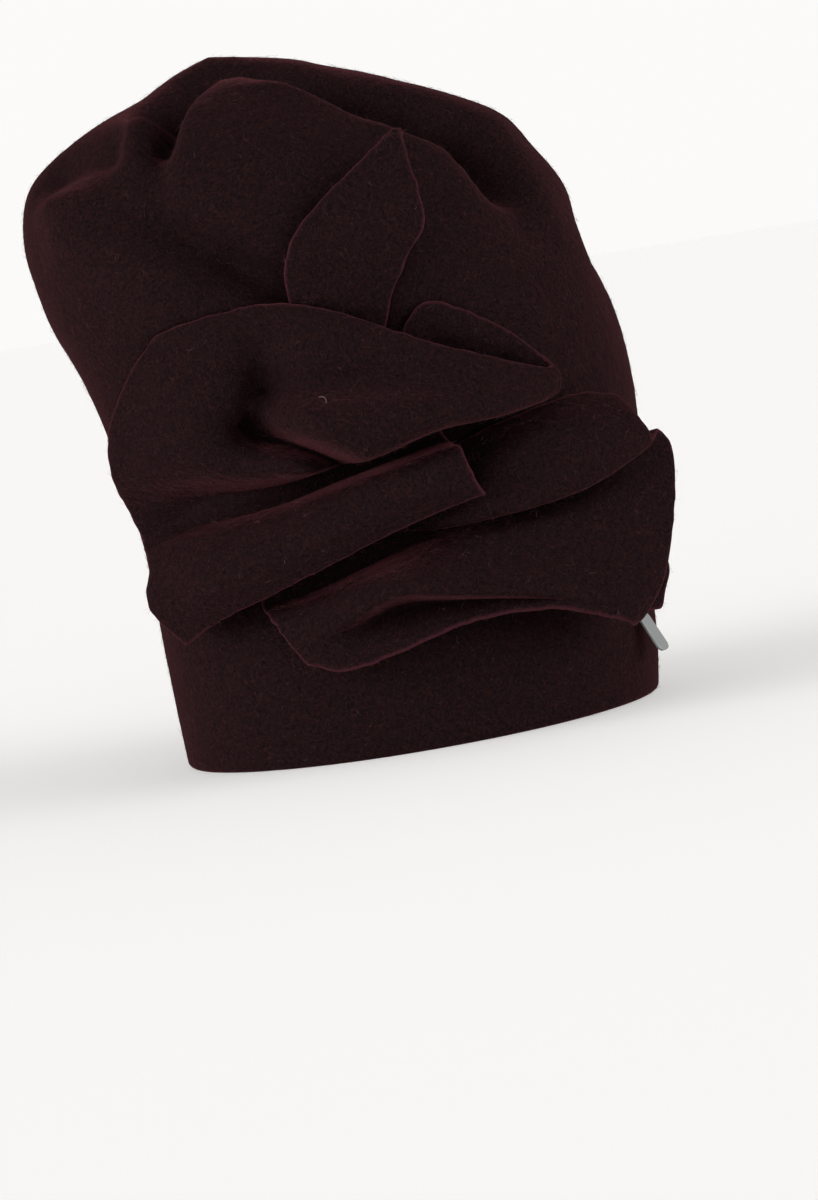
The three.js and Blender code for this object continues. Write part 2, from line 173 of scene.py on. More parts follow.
# %% Folds of the crown
CROWN_FOLDS = [
    {"fold": "top valley", "width": 12.5, "depth": 34, "path": [
        (-62, -30, 277, 0.8), (-48, -17, 283, 1), (-26, -16, 281, 1), (-2, -26, 268, 1),
        (16, -35, 258, 0.95), (36, -38, 254, 0.9), (54, -34, 247, 0.85), (66, -35, 231, 0.6),
        (72, -44, 205, 0)]},
    {"fold": "crest", "width": 6, "depth": -3, "path": [
        (-38, -52, 277, 0.3), (-20, -50, 270, 1), (1, -50, 253, 1), (14, -50, 247, 0.6)]},
    {"fold": "pinch left of the top", "width": 6.5, "depth": 18, "path": [
        (-70, -68, 224, 0.2), (-68, -63, 240, 0.8), (-67, -57, 254, 1), (-62, -44, 270, 1)]},
    {"fold": "ridge left of the pinch", "width": 6, "depth": -5, "path": [
        (-82, -56, 244, 0.6), (-79, -50, 256, 1), (-74, -40, 266, 0.6)]},
    {"fold": "step right of the crest", "width": 12, "depth": 10, "path": [
        (62, -40, 240, 0.8), (74, -46, 218, 1), (80, -50, 198, 0.3)]},
    {"fold": "crest right of the leaf", "width": 6, "depth": -4, "path": [
        (22, -60, 247, 0.6), (44, -62, 240, 1), (55, -64, 222, 1), (58, -70, 200, 0.3)]},
    {"fold": "diagonal valley", "width": 11, "depth": 15, "path": [
        (-80, -64, 229, 0.5), (-64, -74, 216, 1), (-48, -80, 204, 1), (-28, -86, 191, 0.6)]},
    {"fold": "corner ridge", "width": 5, "depth": -6, "path": [
        (-124, -26, 233, 0), (-110, -42, 235, 0.9), (-94, -54, 235, 1), (-76, -64, 232, 0.4)]},
    {"fold": "hollow over the corner ridge", "width": 12, "depth": 9, "path": [
        (-112, -25, 248, 1), (-88, -46, 251, 1)]},
    {"fold": "swelling under the corner ridge", "width": 16, "depth": -5, "path": [
        (-106, -50, 225, 1), (-72, -74, 202, 1)]},
    {"fold": "join in the band", "width": 2.6, "depth": 0.9, "path": [
        (-57, -69, 62, 0.6), (-60, -67, 31, 1), (-63, -65, 4, 1)]},
    {"fold": "right ridge", "width": 7, "depth": -3, "path": [(66, -58, 214, 0.6), (90, -32, 203, 1)]},
    {"fold": "right groove", "width": 7, "depth": 3, "path": [(66, -62, 202, 0.6), (90, -38, 192, 1)]},
    {"fold": "back valley", "width": 14, "depth": 9, "path": [
        (-35, 62, 270, 0.5), (10, 68, 252, 1), (52, 52, 232, 0.6)]},
    {"fold": "back sag", "width": 18, "depth": 8, "path": [
        (-128, 30, 214, 1), (-80, 84, 196, 1), (-30, 98, 176, 0.4)]},
    {"fold": "right sag", "width": 16, "depth": 6, "path": [
        (98, 10, 186, 1), (80, 58, 200, 1), (48, 84, 222, 0.5)]},
]
print("folds:", ", ".join(row["fold"] for row in CROWN_FOLDS))

# %% [markdown]
# Pressing a finger along soft cloth makes a groove whose sides ease out. A bell curve of the distance
# from the fold's line has just that section, so one short function serves every fold of the cap.

# %% How deep the folds are
def fold_depths(folds, places):
    """How deep the folds press the felt in at each place."""
    total = np.zeros(len(places))
    for fold in folds:
        nearest = np.full(len(places), np.inf)
        share = np.zeros(len(places))
        for start, end in zip(fold["path"], fold["path"][1:]):
            leg = np.subtract(end[:3], start[:3])
            along = np.clip((places - start[:3]) @ leg / (leg @ leg), 0, 1)
            distance = np.linalg.norm(places - start[:3] - along[:, None] * leg, axis=1)
            here = start[3] + along * (end[3] - start[3])
            closer = distance < nearest
            nearest = np.where(closer, distance, nearest)
            share = np.where(closer, here, share)
        total += fold["depth"] * share * np.exp(-((nearest / fold["width"]) ** 2))
    return total


valley = np.array([spot[:3] for spot in CROWN_FOLDS[0]["path"]])
print("depth along the top valley, mm:", np.round(fold_depths(CROWN_FOLDS, valley)).astype(int))

# %% [markdown]
# Boiled wool never lies quite even. Three sizes of soft noise give the slack bag its shallow waves, the
# hand marks in it and the small unevenness of the felt itself. The noise is worked out from the place
# alone, so the same cap comes out every time.

# %% Unevenness of the felt
WAVES = [
    {"what": "slack", "size": 55, "height": 1.6},
    {"what": "hand marks", "size": 19, "height": 0.55},
    {"what": "felting", "size": 7, "height": 0.16},
]


def uneven(places, share=1.0):
    """How far the felt stands out at each place, in millimetres."""
    out = np.zeros(len(places))
    for wave in WAVES:
        for k, spot in enumerate(places):
            out[k] += wave["height"] * noise.noise(Vector(spot) / wave["size"])
    return share * out


print("three spots on the felt stand out by", np.round(uneven(np.eye(3) * 90), 2), "mm")

# %% [markdown]
# The wall is pushed straight in or out of the smooth form, so the form's own direction is needed. It is
# found by looking a little way along both directions of the surface.

# %% The crown's outer skin
LOOK_AHEAD = 0.01
TINY = 1e-6  # keeps a length from being divided by zero
RIM_WAVES = 0.15  # share of the waves that reaches the rim
SETTLED_HEIGHT = 60  # the rim lies flat, and the waves grow to their full height up to here


def crown_skin(angle, t):
    """Outer places of the crown and the directions that point out of the felt there."""
    places = smooth_crown(angle, t)
    low, high = np.clip(t - LOOK_AHEAD, 0, None), np.clip(t + LOOK_AHEAD, None, len(RINGS) - 1)
    around = smooth_crown(angle + LOOK_AHEAD, t) - smooth_crown(angle - LOOK_AHEAD, t)
    upward = smooth_crown(angle, high) - smooth_crown(angle, low)
    out = np.cross(around, upward)
    length = np.linalg.norm(out, axis=1, keepdims=True)
    out = np.where(length > TINY, out / np.maximum(length, TINY), [0, 0, 1])
    settled = np.clip(places[:, 2] / SETTLED_HEIGHT, RIM_WAVES, 1)
    lift = uneven(places, settled) - fold_depths(CROWN_FOLDS, places)
    return places + lift[:, None] * out, out


front, _ = crown_skin(np.array([-math.pi / 2]), np.array([4.0]))
print("the front of the crown over the flower's band:", np.round(front[0], 1), "mm")

# %% [markdown]
# The crown is made the way a potter would make it: a profile is spun round the upright axis. The profile
# here is only a straight tube with a closed top and one point for each row, because every point is moved
# to its real place afterwards. The rows run from the top down the outside, round the folded rim and up
# inside as the turned hem. A Solidify modifier then gives the felt its thickness.

# %% Rows of the crown's profile
CELL = 2.7  # spacing of the crown's points
FOLD_RADIUS = WALL + 0.1  # the two layers of the hem nearly touch
FOLD_ROWS = 8
COLUMNS = 236


def level_of(height):
    return np.interp(height, LEVEL_HEIGHTS, LEVELS)


def skin_levels():
    """Places in the table of the outer rows, from the top down, about one cell apart."""
    keys = ("left", "right", "front", "back")
    levels = []
    for i in range(len(RINGS) - 1):
        here, above = RINGS[i], RINGS[i + 1]
        longest = max(math.hypot(above[key] - here[key], above["z"] - here["z"]) for key in keys)
        rows = math.ceil(longest / CELL)
        levels += [i + k / rows for k in range(rows)]
    foot = level_of(FOLD_RADIUS)
    return [len(RINGS) - 1] + [t for t in reversed(levels) if t > foot + 0.02]


outer_levels = skin_levels()
fold_angles = [math.pi * k / FOLD_ROWS for k in range(FOLD_ROWS + 1)]
hem_rows = math.ceil((HEM_HEIGHT - FOLD_RADIUS) / CELL)
hem_heights = [FOLD_RADIUS + (HEM_HEIGHT - FOLD_RADIUS) * (k + 1) / hem_rows for k in range(hem_rows)]
print("rows:", len(outer_levels), "outside,", len(fold_angles), "round the rim,", hem_rows, "in the hem")

# %% [markdown]
# A full spin closes the tube on itself. Its doubled points on the axis are merged and its faces turned
# outwards before any of them is moved. Merging leaves the faces in an order that changes from run to run,
# so they are sorted by their place, or the fibres that are later drawn by lot would land elsewhere each
# time. A point's height then tells its row, and its angle tells where it is round the cap.

# %% Spin the tube and move its points
def tube_cell(part):
    """Counts the tube's edges or faces row by row and round each row, in half cells."""
    corners = [point.co for point in part.verts]
    middle = sum(corners, Vector()) / len(corners)
    turned = math.atan2(middle.y, middle.x) % math.tau / math.tau
    return round(-2 * middle.z) * 2 * COLUMNS + round(2 * COLUMNS * turned) % (2 * COLUMNS)


def spun_tube(rows):
    """A closed tube of that many rows, whose row number is its depth below the top."""
    bm = bmesh.new()
    points = [bm.verts.new((0 if row == 0 else 1, 0, -row)) for row in range(rows)]
    edges = [bm.edges.new(pair) for pair in zip(points, points[1:])]
    bmesh.ops.spin(bm, geom=points + edges, cent=(0, 0, 0), axis=(0, 0, 1), angle=math.tau,
                   steps=COLUMNS, use_merge=True)
    bmesh.ops.remove_doubles(bm, verts=bm.verts, dist=1e-5)
    bm.edges.sort(key=tube_cell)
    bm.faces.sort(key=tube_cell)
    bmesh.ops.recalc_face_normals(bm, faces=bm.faces)
    return bm


def crown_places(row, angle):
    """Where each point of the tube belongs on the cap, in millimetres."""
    first_fold, first_hem = len(outer_levels), len(outer_levels) + len(fold_angles)
    in_fold = np.clip(row - first_fold, 0, len(fold_angles) - 1)
    in_hem = np.clip(row - first_hem, 0, hem_rows - 1)
    height = np.where(row < first_hem, FOLD_RADIUS, np.array(hem_heights)[in_hem])
    skin_level = np.array(outer_levels)[np.clip(row, 0, first_fold - 1)]
    places, out = crown_skin(angle, np.where(row < first_fold, skin_level, level_of(height)))
    level_out = out * [1, 1, 0]
    level_out /= np.maximum(np.linalg.norm(level_out, axis=1, keepdims=True), TINY)
    swing = np.where(row < first_hem, np.array(fold_angles)[in_fold], math.pi)
    inset = FOLD_RADIUS * (1 - np.cos(swing))
    folded = places - inset[:, None] * level_out
    folded[:, 2] = np.where(row < first_hem, FOLD_RADIUS * (1 - np.sin(swing)), height)
    return np.where((row < first_fold)[:, None], places, folded)


bm = spun_tube(len(outer_levels) + len(fold_angles) + hem_rows)
tube = np.array([point.co for point in bm.verts])
crown_points = crown_places(np.rint(-tube[:, 2]).astype(int), np.arctan2(tube[:, 1], tube[:, 0]))
for point, spot in zip(bm.verts, (crown_points + RIM_MIDDLE) * MM):
    point.co = spot
print("crown points:", len(bm.verts), "reaching up to", round(crown_points[:, 2].max(), 1), "mm")

# %% [markdown]
# The points near a cut edge need a mark, because felt is looser where scissors went through it and its
# loose fibre ends catch light there. The mark is a number on every point: its distance from the nearest cut
# edge. The material reads it later to paint a pale highlight along the cut, and the felt is pressed thinner
# there. The crown's only cut edge is the top of the hem inside.

# %% Mark the distance from the cut edge and finish a sheet
def mark_cut_edge(bm, reach=8.0):
    """Stores each point's distance from the open edge of the mesh, in metres."""
    layer = bm.verts.layers.float.new("edge_distance")
    tree_points = [point.co.copy() for point in bm.verts if point.is_boundary]
    tree = KDTree(len(tree_points))
    for k, spot in enumerate(tree_points):
        tree.insert(spot, k)
    tree.balance()
    for point in bm.verts:
        point[layer] = min(tree.find(point.co)[2], reach * MM) if tree_points else reach * MM


EDGE_THINNESS = 0.45  # a cut edge is pressed to this share of the felt's thickness


def felt_object(name, bm, thickness, offset, smoothing, layer_reach=0):
    """Turns a sheet into an object whose felt has its real thickness."""
    mark_cut_edge(bm)
    mesh = bpy.data.meshes.new(name)
    bm.to_mesh(mesh)
    bm.free()
    mesh.shade_smooth()
    piece = bpy.data.objects.new(name, mesh)
    bpy.context.scene.collection.objects.link(piece)
    wall = piece.modifiers.new("felt", "SOLIDIFY")
    wall.thickness = thickness * MM
    wall.offset = offset
    if layer_reach:
        full = piece.vertex_groups.new(name="full_thickness")
        for k, value in enumerate(mesh.attributes["edge_distance"].data):
            full.add([k], min(value.value / (layer_reach * MM), 1), "REPLACE")
        wall.vertex_group = full.name
        wall.thickness_vertex_group = EDGE_THINNESS
    if smoothing:
        soft = piece.modifiers.new("soft", "SUBSURF")
        soft.levels = soft.render_levels = smoothing
    return piece


crown_tree = BVHTree.FromBMesh(bm)
crown = felt_object("felt_crown", bm, WALL, -1, 0)
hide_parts("crown")
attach(crown, "root")
print(crown.name, "has", len(crown.data.polygons), "faces")

# %% [markdown]
# ## The flower
# The flower is three strips of felt and a leaf, each cut from flat cloth, folded by hand and caught with a
# few hidden stitches. A cloth simulation would need the maker's hands as well, so each strip is laid out by
# its crest and valley lines instead, as a paper pattern is: every line runs through places seen from the
# front, and says how far the felt stands off a curve in front of the crown.

# %% Lines of the upper petal
UPPER_LINES = [
    {"line": "top edge", "x": [-80, -58, -32, -8, 17, 46, 71, 60, 42, 26, 12],
     "z": [180, 184, 185, 178, 165, 152, 143, 157, 170, 176, 161],
     "off": [4, 4, 4, 5, 8, 11, 4, -3, -4, -5, -7]},
    {"line": "brow", "x": [-95, -68, -38, -8, 18, 47, 73, 58, 40, 25, 12],
     "z": [163, 167, 168, 164, 156, 146, 141, 151, 161, 166, 155],
     "off": [8, 13, 15, 15, 16, 15, 4, -3, -4, -6, -7]},
    {"line": "belly", "x": [-106, -76, -42, -8, 20, 48, 74, 56, 38, 24, 12],
     "z": [142, 146, 149, 145, 144, 138, 138, 145, 152, 156, 149],
     "off": [11, 22, 24, 22, 22, 19, 4, -4, -5, -6, -7]},
    {"line": "lip", "x": [-107, -77, -44, -8, 23, 50, 73, 55, 37, 23, 12],
     "z": [125, 127, 123, 122, 129, 130, 134, 138, 143, 146, 144],
     "off": [7, 15, 20, 26, 27, 21, 3, -5, -5, -6, -7]},
    {"line": "upper side of the crease", "x": [-103, -76, -43, -8, 24, 51, 70, 54, 36, 22, 12],
     "z": [111, 114, 114, 121, 128, 128, 131, 132, 134, 137, 138],
     "off": [-4, -5, -4, -4, -1, 5, 2, -5, -6, -6, -7]},
    {"line": "lower side of the crease", "x": [-100, -76, -42, -8, 28],
     "z": [98, 103, 107, 114, 120], "off": [-7, -10, -9, -9, -2]},
    {"line": "shoulder", "x": [-98.5, -76, -42, -8, 31],
     "z": [88, 96, 102, 111, 118.5], "off": [1, 7, 12, 16, 18]},
    {"line": "crest", "x": [-101, -74, -38, -4, 34],
     "z": [73, 81, 91, 101, 109], "off": [7, 17, 21, 23, 23]},
    {"line": "hem", "x": [-89, -72, -38, -1, 38],
     "z": [56, 65, 77, 90, 99], "off": [4, 8, 12, 15, 18]},
]
UPPER_FOLDS = [
    {"fold": "dimple", "width": 13, "depth": 17, "path": [
        (-36, 0, 176, 0.3), (-40, 0, 160, 0.9), (-45, 0, 149, 1), (-48, 0, 140, 1)]},
    {"fold": "hollow over the tongue", "width": 8, "depth": 8, "path": [
        (-40, 0, 152, 1), (-20, 0, 151, 1), (4, 0, 150, 0.6), (24, 0, 148, 0.2)]},
    {"fold": "tongue", "width": 7, "depth": -8, "path": [
        (-34, 0, 139, 0.3), (-22, 0, 139, 1), (2, 0, 137, 0.9), (24, 0, 136, 0.5)]},
    {"fold": "crease under the tongue", "width": 4, "depth": 25, "path": [
        (-52, 0, 140, 0.5), (-46, 0, 135, 1), (-28, 0, 127, 1), (-14, 0, 119, 1)]},
    {"fold": "rolled end", "width": 5, "depth": 2, "path": [(-89, 0, 78, 1), (-88, 0, 77, 1)]},
]
print("upper petal:", len(UPPER_LINES), "lines")

# %% [markdown]
# The lower petal leaves the crown under the band, rolls over at the right and swings forward as an apron.
# At its lower left its edge curls up like a scoop, so the last three lines are a crest, a hollow and the
# cut edge.

# %% Lines of the lower petal
LOWER_LINES = [
    {"line": "top edge", "x": [-52, -34, -6, 22, 50, 78, 95, 101],
     "z": [84, 92, 104, 116, 125, 130, 127, 118], "off": [-5, -5, -7, -6, -4, -3, 3, 6]},
    {"line": "roll", "x": [-54, -36, -8, 21, 50, 79, 98, 105],
     "z": [80, 87, 97, 104, 112, 116, 117, 113.5], "off": [-5, -5, -6, 1, 10, 16, 15, 12]},
    {"line": "under the roll", "x": [-55, -39, -9, 20, 51, 77, 97, 108],
     "z": [76, 82, 91, 89, 91, 95, 102, 107.5], "off": [-5, -6, -5, 5, 13, 17, 15, 12]},
    {"line": "upper side of the valley", "x": [-56, -40, -10, 20, 50, 78, 98, 111.5],
     "z": [72, 77, 86, 94, 98, 102, 107, 110.5], "off": [-5, -6, -6, -4, 0, 3, 5, 7]},
    {"line": "lower side of the valley", "x": [-56, -40, -10, 20, 50, 79, 99, 115],
     "z": [67, 69.5, 78, 87, 91, 95, 98, 104], "off": [-4, -7, -7, -5, -2, 1, 4, 8]},
    {"line": "apron top", "x": [-54, -37, -8, 21, 51, 80, 102, 115.5],
     "z": [63.5, 66, 75, 80, 82, 84, 88, 95], "off": [1, 4, 7, 7, 7, 7, 8, 9]},
    {"line": "apron", "x": [-51, -33, -6, 22, 53, 82, 103, 112],
     "z": [59, 62, 72, 72, 69, 67, 70, 78], "off": [6, 11, 18, 17, 15, 13, 11, 10]},
    {"line": "lower fold", "x": [-48, -29, -4, 21, 55, 84, 98, 106],
     "z": [53, 57, 67, 64, 58, 50, 52, 58], "off": [8, 13, 22, 22, 20, 17, 14, 11]},
    {"line": "scoop", "x": [-45, -28, -5, 22, 56, 84, 94, 101],
     "z": [48, 50, 60, 60, 54.5, 45, 44.5, 48], "off": [8, 9, 6, 10, 17, 18, 14.5, 11]},
    {"line": "lower edge", "x": [-41, -28, -8, 24, 56, 84, 88, 92],
     "z": [43, 39.5, 43, 51, 50.5, 40, 37, 38], "off": [9, 16, 20, 20, 20, 19, 15, 11]},
]
print("lower petal:", len(LOWER_LINES), "lines")

# %% [markdown]
# One short layer shows behind the lower petal at the right, and one leaf stands up behind the flower. Both
# are small pieces of the same felt and lie nearly flat, so a few lines are enough.

# %% Lines of the layer under it and of the leaf
UNDER_LINES = [
    {"line": "top edge", "x": [44, 64, 84, 98], "z": [66, 66, 68, 68], "off": [-14, -9, 0, 4]},
    {"line": "middle", "x": [45, 66, 87, 107], "z": [55, 54, 55, 57], "off": [-14, -8, 2, 6]},
    {"line": "lower edge", "x": [46, 66, 84, 101], "z": [50, 46, 43, 39], "off": [-14, -8, 2, 6]},
]
LEAF_LINES = [
    {"line": "left edge", "x": [-20, -26, -25, -17, -3, 13, 25],
     "z": [166, 184, 200, 213, 225, 236, 245], "off": [-7, -2, 2, 1, -2, -5, -8]},
    {"line": "left of the middle", "x": [-12, -13, -9, -3, 7, 18, 26],
     "z": [166, 184, 200, 212, 224, 235, 245], "off": [-7, -3, 0, 0, -2, -5, -8]},
    {"line": "right of the middle", "x": [0, 4, 12, 18, 21, 25, 27],
     "z": [165, 182, 198, 209, 221, 233, 245], "off": [-8, -4, 0, 1, -1, -5, -8]},
    {"line": "right edge", "x": [8, 14, 24, 31, 31, 29, 28],
     "z": [164, 180, 196, 206, 219, 232, 245], "off": [-9, -4, 1, 4, 0, -5, -8]},
]
print("under layer:", len(UNDER_LINES), "lines, leaf:", len(LEAF_LINES), "lines")

# %% [markdown]
# A petal may lie against the crown but never in it. Where a line asks for more than that, the felt
# settles on the crown with a soft change instead of a corner.

# %% Lay a petal's felt against the crown
def seat_y(x, z):
    """The y of the felt's middle layer where it lies on the crown, or infinity beside the crown."""
    ring = ring_at(level_of(z))
    half = (ring["right"] - ring["left"]) / 2
    middle_x = (ring["left"] + ring["right"]) / 2
    across = (x - middle_x) / half
    backed = np.abs(across) <= SEAT_REACH
    across = np.clip(across, -SEAT_REACH, SEAT_REACH)
    deep = np.sqrt(1 - across**2)
    half_depth = (ring["back"] - ring["front"]) / 2
    y = (ring["front"] + ring["back"]) / 2 - half_depth * deep + RIM_SKEW * (x - middle_x)
    facing = deep / np.hypot(deep, across * half_depth / half)
    return np.where(backed, y - (GAP + WALL / 2) / facing, 1e3)


seat = seat_y(np.zeros(1), np.full(1, 100.0))[0]
print("in the middle of the front the felt seats at y", np.round(seat, 1), "mm")


def soft_minimum(a, b):
    return np.minimum(a, b) - SEAT_SOFTNESS * np.log1p(np.exp(-np.abs(a - b) / SEAT_SOFTNESS))


def petal_places(lines, folds, u, v):
    """The felt's middle layer at u, counted along the lines, and v, counted across them."""
    spots = {}
    for key in ("x", "z", "off"):
        table = [list(line[key]) for line in lines]
        for above, row in zip(table, table[1:]):
            row += [row[-1] + above[k] - above[len(row) - 1] for k in range(len(row), len(above))]
        spots[key] = smooth_rows([smooth_rows(row, u) for row in table], v)
    x, z = spots["x"], spots["z"]
    back = fold_depths(folds, np.stack([x, 0 * x, z], axis=1))
    y = FRONT_Y + FRONT_BEND * x**2 - spots["off"] + back
    return np.stack([x, soft_minimum(y, seat_y(x, z)), z], axis=1)


# %% [markdown]
# Each petal starts as a flat grid, like the strip on the cutting table. Its points are moved to their
# places, the part of the grid beyond a cut is deleted, and small noise makes the cut edge a little uneven.
# That kind of noise starts from the clock unless it is given a seed, so it gets one. Last the petal is
# lifted off the crown wherever the two would meet.

# %% Make a petal
CUT_SEED = 7
noise.seed_set(CUT_SEED)
PETAL_WAVES = 0.45
WAVES_APART = [200, 0, 0]  # so that the petals' waves aren't the crown's
CUT_WOBBLE = 0.8
CUT_WOBBLE_SIZE = 4
SIDEWAYS = 0.3  # felt of the crown that faces further back than this carries no petal


def petal(name, node, lines, folds, along_cells, down_cells):
    places, rows = len(lines[0]["x"]) - 1, len(lines) - 1
    bm = bmesh.new()
    bmesh.ops.create_grid(bm, x_segments=along_cells, y_segments=down_cells, size=1)
    grid = np.array([point.co for point in bm.verts])
    u, v = (grid[:, 0] + 1) / 2 * places, (1 - grid[:, 1]) / 2 * rows
    spots = petal_places(lines, folds, u, v)
    spots[:, 1] -= uneven(spots + WAVES_APART, PETAL_WAVES)
    for point, a, b in zip(bm.verts, u, v):
        point.co = (a, b, 0)
    cut = [
        face for face in bm.faces
        if face.calc_center_median().x > len(lines[math.ceil(face.calc_center_median().y)]["x"]) - 1
    ]
    order = {point: k for k, point in enumerate(bm.verts)}
    placed = {point: spots[k] for point, k in order.items()}
    bmesh.ops.delete(bm, geom=cut, context="FACES")
    for point in bm.verts:
        spot = Vector(placed[point])
        if point.is_boundary:
            spot += CUT_WOBBLE * noise.noise_vector(spot / CUT_WOBBLE_SIZE)
        point.co = (spot + Vector(RIM_MIDDLE)) * MM
    clear = (GAP + WALL / 2) * MM
    for point in bm.verts:
        near, out, _, _ = crown_tree.find_nearest(point.co)
        depth = (point.co - near).dot(out)
        if depth < clear and out.y < SIDEWAYS:
            point.co += (clear - depth) * out
    bmesh.ops.recalc_face_normals(bm, faces=bm.faces)
    area = sum(face.calc_area() for face in bm.faces)
    piece = felt_object(name, bm, WALL, 0, 1, layer_reach=2.5)
    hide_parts(node)
    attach(piece, "root")
    print(name, "has", round(area * 1e4), "square centimetres of felt")
    return piece


upper_petal = petal("felt_upper_petal", "upper_petal", UPPER_LINES, UPPER_FOLDS, 120, 72)
lower_petal = petal("felt_lower_petal", "lower_petal", LOWER_LINES, [], 84, 72)
under_petal = petal("felt_under_petal", "under_petal", UNDER_LINES, [], 27, 12)
leaf_petal = petal("felt_leaf_petal", "leaf_petal", LEAF_LINES, [], 42, 24)

# %% [markdown]
# Every strip is a sheet that was cut flat, and a strip keeps nearly its area when it is folded.

# %% The sheets of felt
print("four sheets of felt, each cut flat")

# %% [markdown]
# Every point gets a second mark: the share of its surroundings that other felt hides within a few
# centimetres. A sheet of felt has two faces, and the face that is seen is the more open one. The colour
# is darkened where that share is high, and this is painted shade in the folds: it was set to stand for
# shade that the soft light here doesn't give. It goes beyond the wear by which handling rubs the raised
# places of a felt hat paler while the fibres down in the folds stay dark.

# %% Mark how sheltered the felt is
SHELTER_RAYS = 24
SHELTER_REACH = 60
SKIN_CLEARANCE = 0.4  # rays start this far off the felt
GOLDEN_TURN = math.pi * (3 - math.sqrt(5))


def even_directions(count):
    """Directions spread evenly over the half ball above the XY plane."""
    directions = []
    for k in range(count):
        z = math.sqrt((k + 0.5) / count)
        flat = math.sqrt(1 - z * z)
        directions.append(Vector((flat * math.cos(k * GOLDEN_TURN), flat * math.sin(k * GOLDEN_TURN), z)))
    return directions


def tree_of(pieces):
    """One search tree over the finished shapes of several pieces."""
    together = bmesh.new()
    for piece in pieces:
        together.from_mesh(piece.evaluated_get(bpy.context.evaluated_depsgraph_get()).to_mesh())
    tree = BVHTree.FromBMesh(together)
    together.free()
    return tree


def mark_shelter(piece, tree, sides, clear):
    """Stores the share of directions that are blocked, on the more open of the sides looked at."""
    directions = even_directions(SHELTER_RAYS)
    values = []
    for point in piece.data.vertices:
        shares = []
        for side in sides:
            out = side * point.normal
            turn = Vector((0, 0, 1)).rotation_difference(out)
            start = point.co + clear * MM * out
            blocked = sum(
                tree.ray_cast(start, turn @ way, SHELTER_REACH * MM)[0] is not None for way in directions
            )
            shares.append(blocked / SHELTER_RAYS)
        values.append(min(shares))
    layer = piece.data.attributes.new("shelter", "FLOAT", "POINT")
    layer.data.foreach_set("value", values)
    print(piece.name, "is sheltered by", round(100 * sum(values) / len(values)), "per cent")


felt_tree = tree_of([crown, upper_petal, lower_petal, under_petal, leaf_petal])
mark_shelter(crown, felt_tree, [1], SKIN_CLEARANCE)
for petal_piece in (upper_petal, lower_petal, under_petal, leaf_petal):
    mark_shelter(petal_piece, felt_tree, [1, -1], WALL / 2 + SKIN_CLEARANCE)

# %% [markdown]
# ## The finish of the felt
# Boiled wool is knitted, then shrunk in hot water until the stitches vanish in a mat of curled fibres. Up
# close it is a heather: wine-red wool with some purple, rust and blue-black fibres in it. It has no gloss,
# but loose fibre ends catch the light at its edges, which is what the sheen stands for.

# %% Two helpers for materials
def linear(hex_colour):
    """An sRGB hex colour as the linear colour that Blender works with."""
    channels = [int(hex_colour[k:k + 2], 16) / 255 for k in (1, 3, 5)]
    return [c / 12.92 if c <= 0.04045 else ((c + 0.055) / 1.055) ** 2.4 for c in channels] + [1]


def add_node(tree, kind, links=None, values=None, stops=(), **settings):
    """Adds one node with its settings, its sockets' values, its colour stops and the links that come in."""
    node = tree.nodes.new(kind)
    for name, value in settings.items():
        setattr(node, name, value)
    for socket, value in (values or {}).items():
        node.inputs[socket].default_value = value
    for socket, source in (links or {}).items():
        tree.links.new(source, node.inputs[socket])
    if stops:
        ramp = node.color_ramp.elements
        for position, colour in stops:
            ramp.new(position).color = linear(colour)
        ramp.remove(ramp[len(ramp) - 1])
        ramp.remove(ramp[0])
    return node


def new_material(name):
    material = bpy.data.materials.new(name)
    material.use_nodes = True
    material.node_tree.nodes.clear()
    return material


print("wine red in linear light:", [round(c, 4) for c in linear("#4a1520")[:3]])

# %% [markdown]
# The heather comes from two layers. A fine noise picks one of four close wool tones for each tuft. Then
# single curled fibres of rose, rust and blue-black are drawn over it: each is a thin band round the
# middle value of a noise, which winds about like a fibre does. The real fibres are 0.03 mm thin, too fine
# to show, so the bands are drawn about ten times as wide.

# %% Heathered wool
WOOL_TONES = [(0.3, "#140e12"), (0.45, "#1a1113"), (0.55, "#1f1313"), (0.7, "#251614")]
TUFT = 0.0011  # metres between tufts
FIBRES = [
    {"fibre": "rose curls", "size": 0.0036, "share": 0.010, "tone": "#6a4648", "strength": 0.10},
    {"fibre": "rust curls", "size": 0.0016, "share": 0.05, "tone": "#3c1d18", "strength": 0.22},
    {"fibre": "blue-black curls", "size": 0.0018, "share": 0.05, "tone": "#0e0f17", "strength": 0.22},
]


